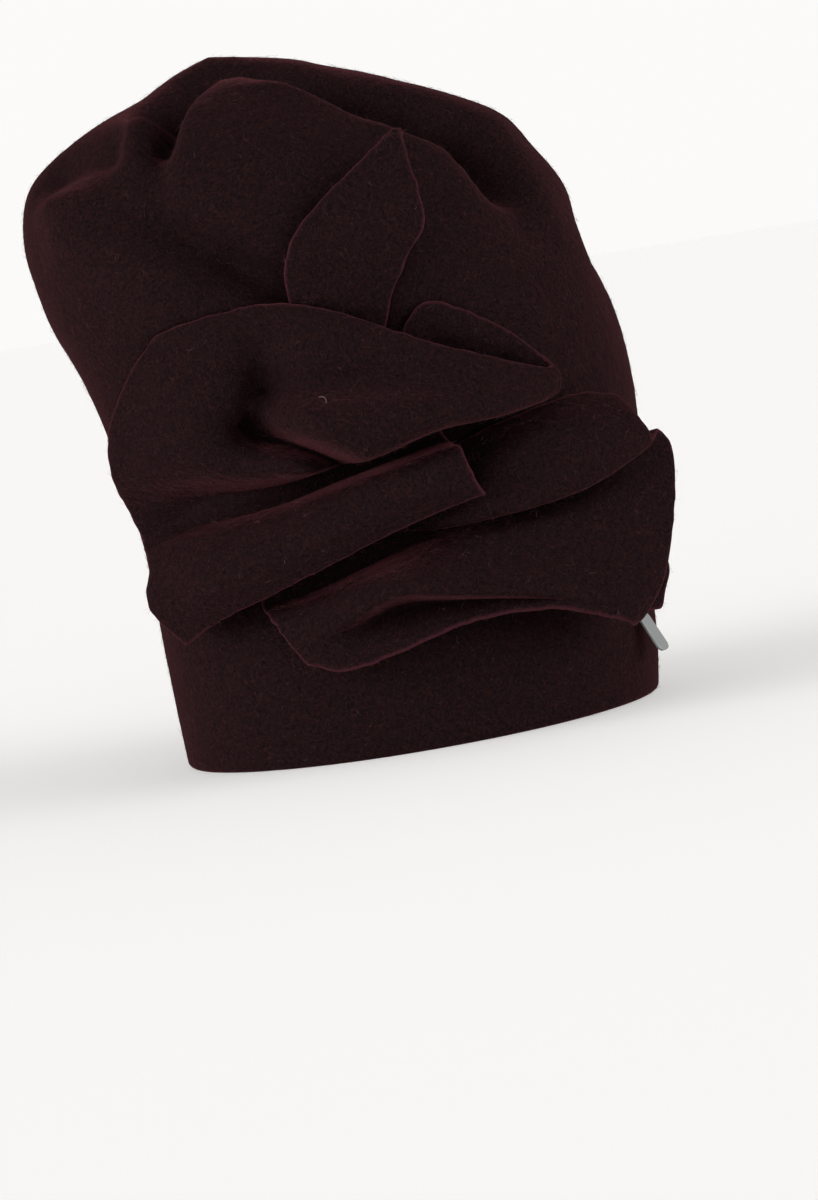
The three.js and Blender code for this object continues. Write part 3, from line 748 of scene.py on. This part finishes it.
def heathered_colour(tree, place, curled, tufts):
    """The colour of the wool before the painted shade and the painted highlight go on."""
    mottle = add_node(tree, "ShaderNodeTexNoise", {"Vector": place},
                      {"Scale": 1 / TUFT, "Detail": 3, "Roughness": 0.7})
    wool = add_node(tree, "ShaderNodeValToRGB", {"Fac": mottle.outputs["Fac"]}, stops=WOOL_TONES)
    grain = add_node(tree, "ShaderNodeMapRange", {"Value": tufts.outputs["Fac"]},
                     {"From Min": 0.3, "From Max": 0.7, "To Min": 0.6, "To Max": 1.4})
    colour = add_node(tree, "ShaderNodeMix", {"A": wool.outputs["Color"], "B": grain.outputs[0]},
                      {"Factor": 1.0}, data_type="RGBA", blend_type="MULTIPLY").outputs["Result"]
    for k, row in enumerate(FIBRES):
        field = add_node(tree, "ShaderNodeTexNoise", {"Vector": curled},
                         {"W": 3.7 * (k + 1), "Scale": 1 / row["size"], "Detail": 0}, noise_dimensions="4D")
        apart = add_node(tree, "ShaderNodeMath", {0: field.outputs["Fac"]}, {1: 0.5}, operation="SUBTRACT")
        near = add_node(tree, "ShaderNodeMath", {0: apart.outputs[0]}, operation="ABSOLUTE")
        strand = add_node(tree, "ShaderNodeMapRange", {"Value": near.outputs[0]},
                          {"From Max": row["share"], "To Min": row["strength"], "To Max": 0})
        colour = add_node(tree, "ShaderNodeMix", {"Factor": strand.outputs[0], "A": colour},
                          {"B": linear(row["tone"])}, data_type="RGBA").outputs["Result"]
    return colour


print("the wool has", len(WOOL_TONES), "tones and", len(FIBRES), "kinds of fibres")

# %% [markdown]
# The two marks on the points drive painted light. Sheltered felt is multiplied by a darker grey, which is
# painted shade in the folds, and the last millimetre at a cut edge turns rose, a painted highlight with a
# border that wanders with the tufts.

# %% Painted shade in the folds and a painted highlight at the cut edges
def painted_shade_and_highlight(tree, colour, tufts):
    """Paints shade on the sheltered felt and a pale highlight on its cut edges."""
    sheltered = add_node(tree, "ShaderNodeAttribute", attribute_name="shelter")
    # Painted shade: the more other felt shelters a point, the darker its colour is made.
    painted_shade = add_node(tree, "ShaderNodeMapRange", {"Value": sheltered.outputs["Fac"]},
                   {"From Min": 0.22, "From Max": 0.6, "To Min": 1.0, "To Max": 0.45})
    darker = add_node(tree, "ShaderNodeMix", {"A": colour, "B": painted_shade.outputs[0]},
                      {"Factor": 1.0}, data_type="RGBA", blend_type="MULTIPLY").outputs["Result"]
    cut = add_node(tree, "ShaderNodeAttribute", attribute_name="edge_distance")
    wander = add_node(tree, "ShaderNodeMath", {0: tufts.outputs["Fac"], 2: cut.outputs["Fac"]},
                      {1: -0.0016}, operation="MULTIPLY_ADD")
    # Painted highlight: the last millimetre at a cut edge is mixed towards rose.
    painted_edge_highlight = add_node(tree, "ShaderNodeMapRange", {"Value": wander.outputs[0]},
                      {"From Min": -0.0006, "From Max": 0.0007, "To Min": 0.5, "To Max": 0})
    return add_node(tree, "ShaderNodeMix", {"Factor": painted_edge_highlight.outputs[0], "A": darker},
                    {"B": linear("#4a252c")}, data_type="RGBA").outputs["Result"]


print("a cut edge turns", [round(c, 3) for c in linear("#4a252c")[:3]])

# %% [markdown]
# The skin that carries the colour is fully rough and has no gloss at all. Its sheen is tinted rose, because
# light that grazes the nap has passed through dyed wool, and it is what lights up the cap's outline.

# %% Boiled wool felt
def boiled_wool():
    """Boiled wool: matte, heathered and hairy, with painted shade in its folds, a painted highlight at cut
    edges and light caught in its loose fibres.
    """
    material = new_material("boiled_wool_felt")
    tree = material.node_tree
    place = add_node(tree, "ShaderNodeTexCoord").outputs["Object"]
    bend = add_node(tree, "ShaderNodeTexNoise", {"Vector": place}, {"Scale": 1 / 0.004, "Detail": 1})
    shift = add_node(tree, "ShaderNodeVectorMath", {0: bend.outputs["Color"]},
                     {1: (0.5, 0.5, 0.5)}, operation="SUBTRACT")
    curled = add_node(tree, "ShaderNodeVectorMath", {0: shift.outputs[0], 2: place},
                      {1: (0.004,) * 3}, operation="MULTIPLY_ADD").outputs[0]
    tufts = add_node(tree, "ShaderNodeTexNoise", {"Vector": curled},
                     {"Scale": 1 / TUFT, "Detail": 3, "Roughness": 0.7})
    # The heather gets painted shade in the folds and a painted highlight at the cut edges.
    colour = painted_shade_and_highlight(tree, heathered_colour(tree, place, curled, tufts), tufts)
    relief = add_node(tree, "ShaderNodeBump", {"Height": tufts.outputs["Fac"]},
                      {"Strength": 0.8, "Distance": 0.0007})
    skin = add_node(tree, "ShaderNodeBsdfPrincipled", {"Base Color": colour, "Normal": relief.outputs[0]},
                    {"Roughness": 0.95, "Specular IOR Level": 0.0, "Sheen Weight": 0.2,
                     "Sheen Roughness": 0.28, "Sheen Tint": linear("#d0767e")})
    add_node(tree, "ShaderNodeOutputMaterial", {"Surface": skin.outputs[0]})
    return material


felt = boiled_wool()
for piece in (crown, upper_petal, lower_petal, under_petal, leaf_petal):
    piece.data.materials.append(felt)
print("felt on 5 pieces")

# %% [markdown]
# ## Loose fibres
# Thousands of wool ends stand off the real felt. They blur its outline, and here and there a longer one
# lies on it in a curl. A fibre here is a thin three-sided cone with a few rings of points, which costs
# only some dozen triangles. One cone is doubled again and again into a row of them, and then each is bent
# along its own path, as the crown's tube was: a point's x tells which thread it belongs to, and its z
# tells how far along it is.

# %% Threads that follow paths
STOCK_RADIUS, STOCK_TIP = 0.3, 0.12  # radii of the straight thread before it is bent


def thread_stock(count, rings):
    """Straight threads side by side, one for each whole x, with a ring of points at each whole z."""
    bm = bmesh.new()
    bmesh.ops.create_cone(bm, cap_ends=True, segments=3, radius1=STOCK_RADIUS, radius2=STOCK_TIP,
                          depth=rings - 1, matrix=Matrix.Translation((0, 0, (rings - 1) / 2)))
    for ring in range(1, rings - 1):
        bmesh.ops.bisect_plane(bm, geom=bm.verts[:] + bm.edges[:] + bm.faces[:],
                               plane_co=(0, 0, ring), plane_no=(0, 0, 1))
    made = 1
    while made < count:
        copies = bmesh.ops.duplicate(bm, geom=bm.verts[:] + bm.edges[:] + bm.faces[:])["geom"]
        moved = [part for part in copies if isinstance(part, bmesh.types.BMVert)]
        bmesh.ops.translate(bm, verts=moved, vec=(made, 0, 0))
        made *= 2
    spare = [point for point in bm.verts if point.co.x > count - 0.5]
    bmesh.ops.delete(bm, geom=spare, context="VERTS")
    return bm


def threads(name, paths, up, radius, material):
    """Threads through paths of points in millimetres, with the way out of the felt and a radius for each."""
    count, rings = paths.shape[:2]
    ahead = np.gradient(paths, axis=1)
    side = np.cross(ahead, up[:, None, :])
    side /= np.linalg.norm(side, axis=2, keepdims=True)
    top = np.cross(side, ahead) / np.linalg.norm(ahead, axis=2, keepdims=True)
    bm = thread_stock(count, rings)
    stock = np.array([point.co for point in bm.verts])
    thread, ring = np.rint(stock[:, 0]).astype(int), np.rint(stock[:, 2]).astype(int)
    across = (stock[:, :1] - thread[:, None]) * side[thread, ring] + stock[:, 1:2] * top[thread, ring]
    spots = paths[thread, ring] + across * radius[thread][:, None] / STOCK_RADIUS
    for point, spot in zip(bm.verts, spots * MM):
        point.co = spot
    bmesh.ops.recalc_face_normals(bm, faces=bm.faces)
    mesh = bpy.data.meshes.new(name)
    bm.to_mesh(mesh)
    bm.free()
    mesh.materials.append(material)
    piece = bpy.data.objects.new(name, mesh)
    bpy.context.scene.collection.objects.link(piece)
    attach(piece, "root")
    print(name, "has", count, "threads and", len(mesh.polygons), "faces")


# %% [markdown]
# A single wool fibre is scaly and a little glossier than the mat. Most are as dark as the felt, some are
# rust, and a few have hardly taken the dye and shine rose.

# %% Wool fibre
FIBRE_TONES = [(0.3, "#150c12"), (0.5, "#2a1419"), (0.64, "#3c1e21"), (0.74, "#6d4847")]


def wool_fibre():
    """Single wool fibres: a little glossier than the mat, from blue-black to rose."""
    material = new_material("loose_wool_fibre")
    tree = material.node_tree
    place = add_node(tree, "ShaderNodeTexCoord").outputs["Object"]
    mix = add_node(tree, "ShaderNodeTexNoise", {"Vector": place}, {"Scale": 1 / 0.005, "Detail": 1})
    tone = add_node(tree, "ShaderNodeValToRGB", {"Fac": mix.outputs["Fac"]}, stops=FIBRE_TONES)
    skin = add_node(tree, "ShaderNodeBsdfPrincipled", {"Base Color": tone.outputs["Color"]},
                    {"Roughness": 0.6, "Specular IOR Level": 0.2})
    add_node(tree, "ShaderNodeOutputMaterial", {"Surface": skin.outputs[0]})
    return material


loose_wool = wool_fibre()
print("made", loose_wool.name)

# %% [markdown]
# The fibres are scattered evenly over the felt: a face is drawn by lot, a large face more often than a
# small one. Each fibre leaves it nearly flat, lifts a little and curls. Random numbers from a fixed seed
# scatter them the same way every time. On the crown only the outer skin gets them, as its inside isn't
# seen.

# %% Scatter the loose fibres
FIBRE_RADIUS = 0.045
FIBRE_LENGTHS = (1.8, 6.0)
FIBRE_LIFTS = (0.1, 0.8)
FIBRE_CURL = 1.3
FLOOR_CLEARANCE = 0.1  # fibres at the rim are pressed flat by the floor
CROWN_CORE = RIM_MIDDLE + (-8, 2, 120)


def scatter_fibres(piece, count, seed, outside_of=None):
    random = np.random.default_rng(seed)
    shape = piece.evaluated_get(bpy.context.evaluated_depsgraph_get()).to_mesh()
    area, centre, normal = (np.empty(len(shape.polygons) * k) for k in (1, 3, 3))
    shape.polygons.foreach_get("area", area)
    shape.polygons.foreach_get("center", centre)
    shape.polygons.foreach_get("normal", normal)
    centre, normal = centre.reshape(-1, 3) / MM, normal.reshape(-1, 3)
    if outside_of is not None:
        area *= ((centre - outside_of) * normal).sum(axis=1) > 0
    chosen = random.choice(len(area), count, p=area / area.sum())
    root, up = centre[chosen], normal[chosen]
    side = np.cross(up, random.normal(size=(count, 3)))
    side /= np.linalg.norm(side, axis=1, keepdims=True)
    ahead = np.cross(side, up)
    half = random.uniform(*FIBRE_LENGTHS, count)[:, None] / 2
    lift = random.uniform(*FIBRE_LIFTS, count)[:, None]
    curl = random.normal(0, FIBRE_CURL, count)[:, None]
    middle = root + half * ahead + lift * up
    end = middle + half * (np.cos(curl) * ahead + np.sin(curl) * side) + lift / 2 * up
    paths = np.stack([root, middle, end], axis=1)
    paths[:, :, 2] = np.maximum(paths[:, :, 2], FLOOR_CLEARANCE)
    threads("fuzz_of_" + piece.name, paths, up, np.full(count, FIBRE_RADIUS), loose_wool)


scatter_fibres(crown, 9000, 1, outside_of=CROWN_CORE)
scatter_fibres(upper_petal, 4500, 2)
scatter_fibres(lower_petal, 3200, 3)
scatter_fibres(under_petal, 300, 4)
scatter_fibres(leaf_petal, 900, 5)

# %% [markdown]
# A few longer hairs and a white speck of lint are plain to see in the photograph. Each is laid on the
# felt along its own short path, by looking for the felt straight behind each of its points.

# %% Lay single hairs
HAIRS = [
    {"hair": "guard hair", "radius": 0.09, "path": [(-53, 51), (-50, 45.5), (-46, 40.5)]},
    {"hair": "second guard hair", "radius": 0.09, "path": [(-52.5, 49), (-49, 44), (-45.5, 39.8)]},
    {"hair": "hair on the band", "radius": 0.09, "path": [(-33, 95), (-30, 92.5), (-28.5, 87.5)]},
    {"hair": "curl on the tongue", "radius": 0.08, "path": [
        (5, 135), (7, 138), (11, 139), (14, 137), (14, 133.5), (16, 132)]},
    {"hair": "lying hair", "radius": 0.07, "path": [(62, 66.5), (66, 65.5), (70, 66.2)]},
    {"hair": "short curl", "radius": 0.08, "path": [(-27, 131), (-25, 133), (-22.5, 132), (-23, 129.5)]},
]
LINT = [
    {"hair": "lint", "radius": 0.2, "path": [(-20, 147), (-18.2, 146.7), (-17.4, 145.6), (-17.6, 144.4)]},
]
HAIR_RINGS = 12
HAIR_LIFT = 0.25
IN_FRONT = 300


def felt_behind(x, z):
    """The nearest felt seen from the front at a place, in millimetres."""
    start = Vector((RIM_MIDDLE + (x, -IN_FRONT, z)) * MM)
    return felt_tree.ray_cast(start, Vector((0, 1, 0)))[0] / MM


def lay_hairs(name, rows, material):
    paths = []
    for row in rows:
        t = np.linspace(0, len(row["path"]) - 1, HAIR_RINGS)
        x, z = (smooth_rows([spot[k] for spot in row["path"]], t) for k in (0, 1))
        paths.append([felt_behind(a, b) - Vector((0, HAIR_LIFT + row["radius"], 0)) for a, b in zip(x, z)])
    up = np.tile([0, -1, 0], (len(rows), 1))
    threads(name, np.array(paths), up, np.array([row["radius"] for row in rows]), material)


lay_hairs("single_hairs", HAIRS, loose_wool)

# %% [markdown]
# The lint is a curl of undyed wool. It is nearly white, as matte as the rest, and a little uneven in tone.

# %% White lint
def undyed_wool():
    """Undyed wool, nearly white and matte."""
    material = new_material("undyed_wool_lint")
    tree = material.node_tree
    place = add_node(tree, "ShaderNodeTexCoord").outputs["Object"]
    cloud = add_node(tree, "ShaderNodeTexNoise", {"Vector": place}, {"Scale": 1 / 0.001, "Detail": 2})
    tone = add_node(tree, "ShaderNodeMix", {"Factor": cloud.outputs["Fac"]},
                    {"A": linear("#6a5557"), "B": linear("#8d7b7b")}, data_type="RGBA")
    skin = add_node(tree, "ShaderNodeBsdfPrincipled", {"Base Color": tone.outputs["Result"]},
                    {"Roughness": 0.7, "Specular IOR Level": 0.2})
    add_node(tree, "ShaderNodeOutputMaterial", {"Surface": skin.outputs[0]})
    return material


lay_hairs("lint", LINT, undyed_wool())

# %% [markdown]
# ## The plate
# A small plate of plain zinc hangs at the right of the band. On the real cap it is die-cast and tumbled,
# so its corners are round and its edges soft. It starts as one square face: its corners are beveled, the
# face is pulled to its thickness, and then the rims are beveled too.

# %% The zinc plate
PLATE = {"width": 9, "height": 18, "thick": 1.2, "round": 3, "edge": 0.3}
PLATE_PLACE = (98.2, -28.6, 27)
PLATE_TURN = math.radians(60)
PLATE_LEAN = math.radians(28)


def zinc_plate():
    bm = bmesh.new()
    bmesh.ops.create_grid(bm, x_segments=1, y_segments=1, size=0.5)
    bmesh.ops.scale(bm, verts=bm.verts, vec=(PLATE["width"], PLATE["height"], 1))
    bmesh.ops.bevel(bm, geom=list(bm.verts), offset=PLATE["round"], segments=6, profile=0.5,
                    affect="VERTICES", material=-1)
    pulled = bmesh.ops.extrude_face_region(bm, geom=list(bm.faces))["geom"]
    moved = [part for part in pulled if isinstance(part, bmesh.types.BMVert)]
    bmesh.ops.translate(bm, verts=moved, vec=(0, 0, PLATE["thick"]))
    bmesh.ops.recalc_face_normals(bm, faces=bm.faces)
    rims = [edge for edge in bm.edges if edge.calc_face_angle(0) > math.radians(60)]
    bmesh.ops.bevel(bm, geom=rims, offset=PLATE["edge"], segments=3, profile=0.5,
                    affect="EDGES", material=-1)
    upright = Matrix.Rotation(math.pi / 2 - PLATE_LEAN, 4, "X")
    turned = Matrix.Rotation(PLATE_TURN, 4, "Z") @ upright @ Matrix.Translation((0, 0, -PLATE["thick"] / 2))
    placed = Matrix.Translation((RIM_MIDDLE + PLATE_PLACE) * MM) @ Matrix.Scale(MM, 4) @ turned
    bmesh.ops.transform(bm, matrix=placed, verts=bm.verts)
    mesh = bpy.data.meshes.new("zinc_plate")
    bm.to_mesh(mesh)
    bm.free()
    piece = bpy.data.objects.new("zinc_plate", mesh)
    bpy.context.scene.collection.objects.link(piece)
    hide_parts("label_plate")
    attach(piece, "root")
    return piece


plate = zinc_plate()
print("the plate has", len(plate.data.polygons), "faces")

# %% [markdown]
# Tumbled zinc is a soft grey metal. Cloudy patches are a little rougher than the rest, and fine scratches
# run along its length, which keeps its shine from looking like chrome.

# %% Satin zinc
SCRATCH_WIDTH, SCRATCH_LENGTH = 0.0003, 0.004  # metres; real ones are finer and wouldn't show


def satin_zinc():
    """Die-cast zinc, tumbled: a soft grey shine with cloudy patches and fine scratches."""
    material = new_material("satin_zinc")
    tree = material.node_tree
    place = add_node(tree, "ShaderNodeTexCoord").outputs["Object"]
    cloud = add_node(tree, "ShaderNodeTexNoise", {"Vector": place}, {"Scale": 1 / 0.002, "Detail": 4})
    rough = add_node(tree, "ShaderNodeMapRange", {"Value": cloud.outputs["Fac"]},
                     {"To Min": 0.3, "To Max": 0.55})
    along = add_node(tree, "ShaderNodeMapping", {"Vector": place},
                     {"Scale": (1 / SCRATCH_WIDTH, 1 / SCRATCH_WIDTH, 1 / SCRATCH_LENGTH)})
    scratch = add_node(tree, "ShaderNodeTexNoise", {"Vector": along.outputs[0]}, {"Scale": 1.0, "Detail": 2})
    relief = add_node(tree, "ShaderNodeBump", {"Height": scratch.outputs["Fac"]},
                      {"Strength": 0.3, "Distance": 0.00002})
    skin = add_node(tree, "ShaderNodeBsdfPrincipled",
                    {"Roughness": rough.outputs[0], "Normal": relief.outputs[0]},
                    {"Base Color": linear("#8d908f"), "Metallic": 1.0})
    add_node(tree, "ShaderNodeOutputMaterial", {"Surface": skin.outputs[0]})
    return material


plate.data.materials.append(satin_zinc())
print("the plate is", plate.data.materials[0].name)

# %% [markdown]
# ## Floor and light
# The cap stands on a plain pale floor that runs on as far as the eye goes. It is a sheet of white
# acrylic, lit a little from below as on a table for product photographs, so it meets the pale room with
# only a faint line.

# %% The floor
FLOOR_RADIUS = 9  # metres
floor_mesh = bmesh.new()
bmesh.ops.create_circle(floor_mesh, cap_ends=True, segments=64, radius=FLOOR_RADIUS)
floor_data = bpy.data.meshes.new("floor")
floor_mesh.to_mesh(floor_data)
floor_mesh.free()
floor = bpy.data.objects.new("floor", floor_data)
bpy.context.scene.collection.objects.link(floor)
paint = new_material("pale_floor")
pale = add_node(paint.node_tree, "ShaderNodeBsdfPrincipled", None,
                {"Base Color": linear("#e7e6e4"), "Roughness": 1.0, "Specular IOR Level": 0.0,
                 "Emission Color": linear("#fbfaf9"), "Emission Strength": 0.31})
add_node(paint.node_tree, "ShaderNodeOutputMaterial", {"Surface": pale.outputs[0]})
floor_data.materials.append(paint)
print("the floor is", round(2 * floor_data.vertices[0].co.length), "m wide")

# %% [markdown]
# Two large soft windows light the cap from both sides, the left one more. They stand low, so the tops of
# the folds stay dark and the outline glows. The room is pale at eye level and darker overhead.

# %% The light
LAMPS = [
    {"lamp": "window_left", "from": (-1.0, -0.38, 0.1), "softness": 50, "strength": 3.5},
    {"lamp": "window_right", "from": (1.0, -0.25, 0.15), "softness": 50, "strength": 2.3},
]
for row in LAMPS:
    light = bpy.data.lights.new(row["lamp"], "SUN")
    light.angle = math.radians(row["softness"])
    light.energy = row["strength"]
    lamp = bpy.data.objects.new(row["lamp"], light)
    lamp.rotation_euler = Vector(row["from"]).to_track_quat("Z", "Y").to_euler()
    bpy.context.scene.collection.objects.link(lamp)
world = bpy.data.worlds.new("pale_room")
world.use_nodes = True
sky = world.node_tree
direction = add_node(sky, "ShaderNodeTexCoord").outputs["Generated"]
height = add_node(sky, "ShaderNodeSeparateXYZ", {0: direction}).outputs["Z"]
glow = add_node(sky, "ShaderNodeMapRange", {"Value": height},
                {"From Min": 0.15, "From Max": 0.9, "To Min": 1.0, "To Max": 0.3})
sky.nodes["Background"].inputs["Color"].default_value = linear("#fbfaf9")
sky.links.new(glow.outputs[0], sky.nodes["Background"].inputs["Strength"])
bpy.context.scene.world = world
bpy.context.scene.view_settings.view_transform = "Standard"
print(len(LAMPS), "lamps")
